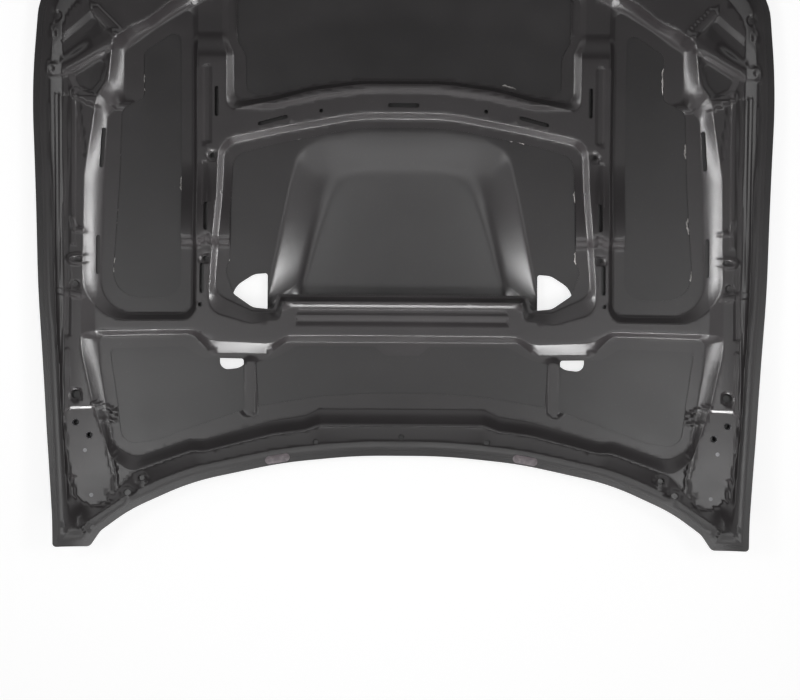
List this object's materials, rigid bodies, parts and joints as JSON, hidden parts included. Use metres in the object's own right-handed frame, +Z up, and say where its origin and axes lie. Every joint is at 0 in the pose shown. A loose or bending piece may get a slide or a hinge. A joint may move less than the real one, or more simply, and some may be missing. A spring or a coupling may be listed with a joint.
{
  "type": "car bonnet",
  "caption": "Pressed-steel car bonnet lying underside up: outer skin with a rear-facing power bulge, hemmed round a pocketed inner frame with hinge pads.",
  "frame": {"origin": "on the floor under the middle of the bonnet's outline", "axes": "+X to the right of the underside as seen with the nose away from the viewer, +Y to the nose, +Z up out of the underside"},
  "size_m": [1.4722, 1.3088, 0.206],
  "materials": {
    "outer_skin": "satin",
    "inner_frame": "satin",
    "zinc_plate": "matte",
    "mastic": "matte",
    "buffer_pad": "satin"
  },
  "bodies": {
    "root": {"buffer_pad_left": "buffer_pad", "buffer_pad_right": "buffer_pad", "hinge_reinforcement_left": "zinc_plate", "hinge_reinforcement_right": "zinc_plate", "inner_frame": "inner_frame", "latch_reinforcement": "zinc_plate", "mastic_left_1": "mastic", "mastic_left_2": "mastic", "mastic_left_3": "mastic", "mastic_left_4": "mastic", "mastic_left_5": "mastic", "mastic_left_6": "mastic", "mastic_left_7": "mastic", "mastic_left_8": "mastic", "mastic_left_9": "mastic", "mastic_right_1": "mastic", "mastic_right_10": "mastic", "mastic_right_2": "mastic", "mastic_right_3": "mastic", "mastic_right_4": "mastic", "mastic_right_5": "mastic", "mastic_right_6": "mastic", "mastic_right_7": "mastic", "mastic_right_8": "mastic", "mastic_right_9": "mastic", "outer_skin": "outer_skin", "weld_nut_left_front": "zinc_plate", "weld_nut_left_rear": "zinc_plate", "weld_nut_right_front": "zinc_plate", "weld_nut_right_rear": "zinc_plate"}
  },
  "joints": []
}
